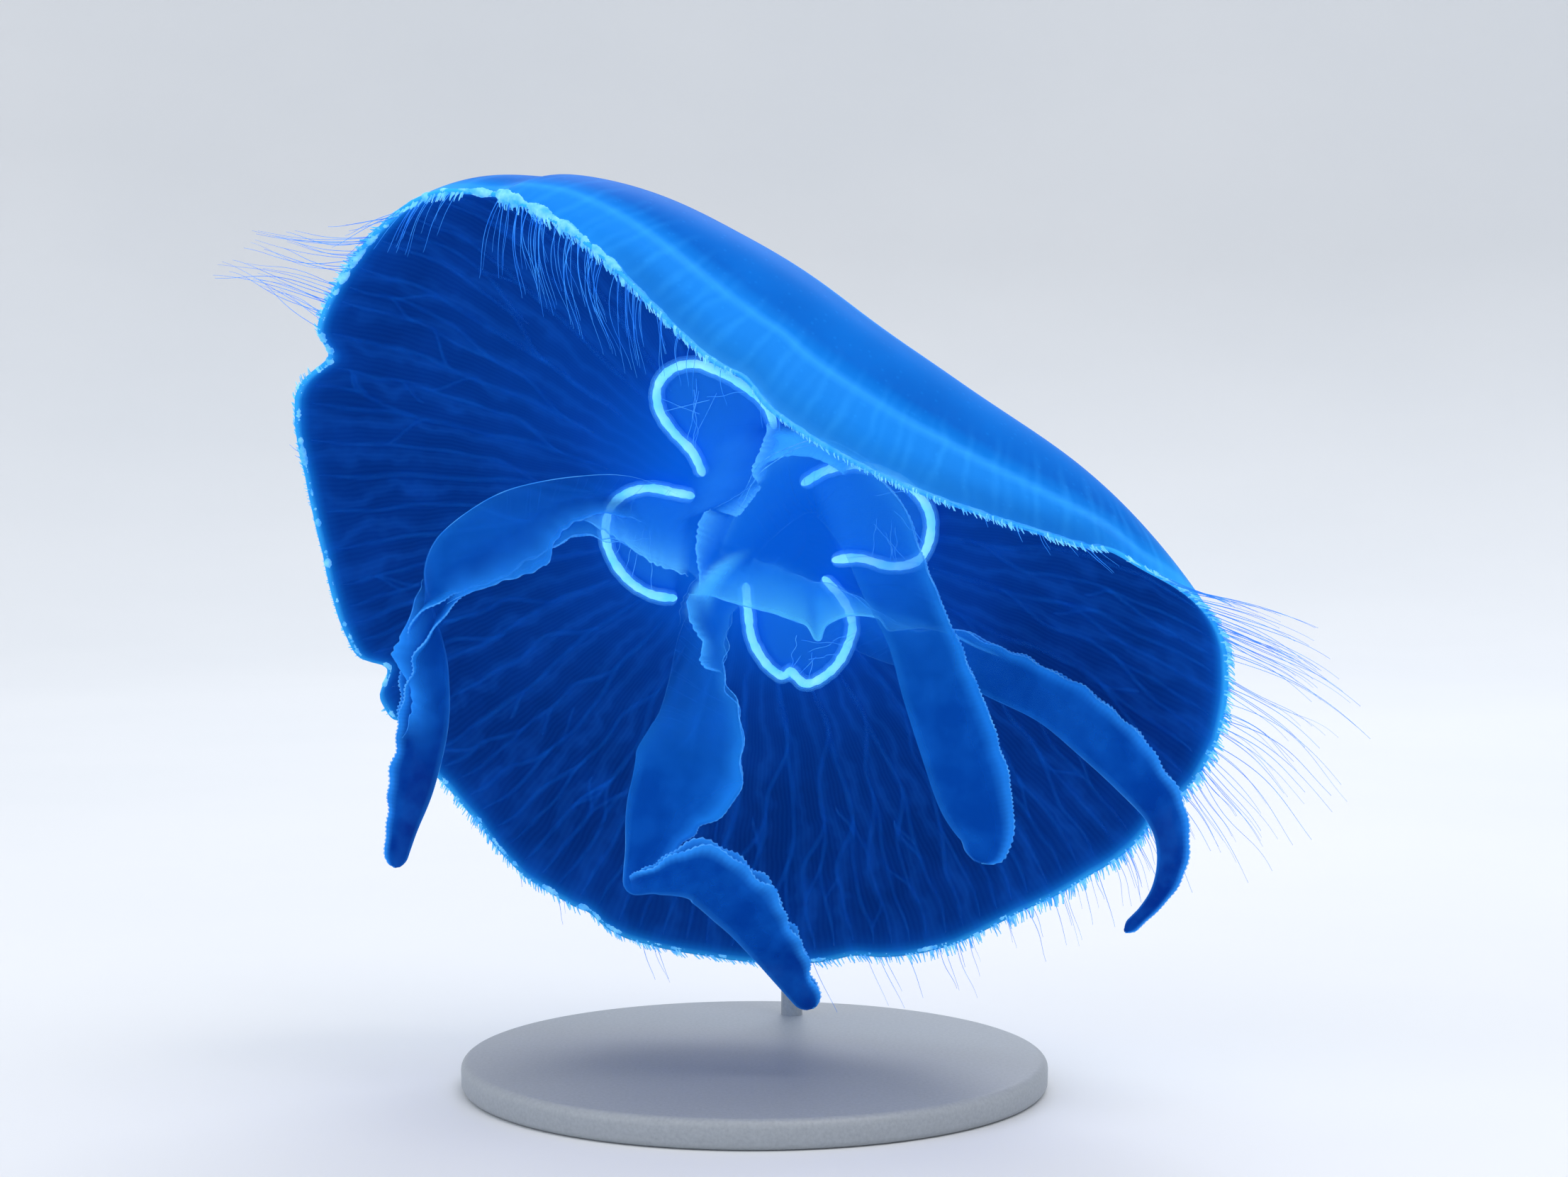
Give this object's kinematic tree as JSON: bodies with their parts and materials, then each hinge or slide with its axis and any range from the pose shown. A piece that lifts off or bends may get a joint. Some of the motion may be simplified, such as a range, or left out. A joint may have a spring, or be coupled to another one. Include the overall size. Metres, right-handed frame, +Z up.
{
  "type": "moon jellyfish model",
  "caption": "Life-size moon jellyfish swimming on its side, an edge of the bell folded in, with gonad loops, oral arms and fine tentacles, held on a plain display stand.",
  "frame": {"origin": "centre of the underside of the stand's base", "axes": "+Z up from the surface that the stand rests on; the viewer looks along +Y into the hollow of the bell; +X to the viewer's right"},
  "size_m": [0.2816, 0.1785, 0.2394],
  "materials": {
    "bell_jelly": "clear blue gel, wet gloss, seen through in layers",
    "bell_margin": "thin blue gel with a brighter, finely toothed edge and fine tentacles, wet gloss",
    "gonad_tissue": "pale cyan, opaque, faintly glowing, wet",
    "arm_tissue": "thin folded blue gel with brighter, frilled lips, wet gloss",
    "stand_paint": "pale grey powder-coated steel, fine grain, satin"
  },
  "bodies": {
    "root": {"bell_dome": "bell_jelly", "bell_lobe_1": "bell_margin", "bell_lobe_2": "bell_margin", "bell_lobe_3": "bell_margin", "bell_lobe_4": "bell_margin", "bell_lobe_5": "bell_margin", "bell_lobe_6": "bell_margin", "bell_lobe_7": "bell_margin", "bell_lobe_8": "bell_margin", "gonad_1": "gonad_tissue", "gonad_2": "gonad_tissue", "gonad_3": "gonad_tissue", "gonad_4": "gonad_tissue", "mouth": "arm_tissue", "oral_arm_1_root": "arm_tissue", "oral_arm_1_middle": "arm_tissue", "oral_arm_1_tip": "arm_tissue", "oral_arm_2_root": "arm_tissue", "oral_arm_2_middle": "arm_tissue", "oral_arm_2_tip": "arm_tissue", "oral_arm_3_root": "arm_tissue", "oral_arm_3_middle": "arm_tissue", "oral_arm_3_tip": "arm_tissue", "oral_arm_4_root": "arm_tissue", "oral_arm_4_middle": "arm_tissue", "oral_arm_4_tip": "arm_tissue", "stand_base": "stand_paint", "stand_rod": "stand_paint"}
  },
  "joints": []
}
